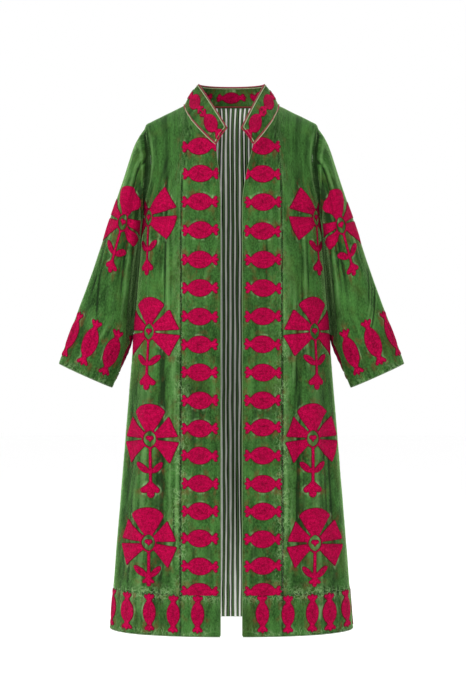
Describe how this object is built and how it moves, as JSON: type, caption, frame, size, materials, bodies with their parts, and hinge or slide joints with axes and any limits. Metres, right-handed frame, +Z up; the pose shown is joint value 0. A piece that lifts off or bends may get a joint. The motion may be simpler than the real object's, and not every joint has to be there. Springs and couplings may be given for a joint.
{
  "type": "suzani embroidered coat",
  "caption": "Long open velvet coat with stand collar, tapered sleeves, straight front bands, hem border and striped lining, in its worn shape.",
  "frame": {"origin": "middle of the neck hole, level with the inner ends of the shoulder seams, where the wearer's shoulders carry the coat", "axes": "+Z up along the wearer, fronts face -Y, +X to the wearer's left"},
  "size_m": [0.7938, 0.3041, 1.2515],
  "materials": {
    "velvet": "crushed green velvet with raspberry red silk embroidery",
    "lining": "smooth woven stripes in white, olive and black",
    "cord": "twisted silk piping, dark red beside pale green"
  },
  "bodies": {
    "root": {"front_band_left": "velvet", "front_band_right": "velvet", "front_side_left": "velvet", "front_side_right": "velvet", "back": "velvet", "hem_front_left": "velvet", "hem_front_right": "velvet", "hem_back": "velvet", "sleeve_left": "velvet", "sleeve_right": "velvet", "collar": "velvet", "lining_back": "lining", "cord_collar_edge": "cord", "cord_neck_seam": "cord"}
  },
  "joints": []
}
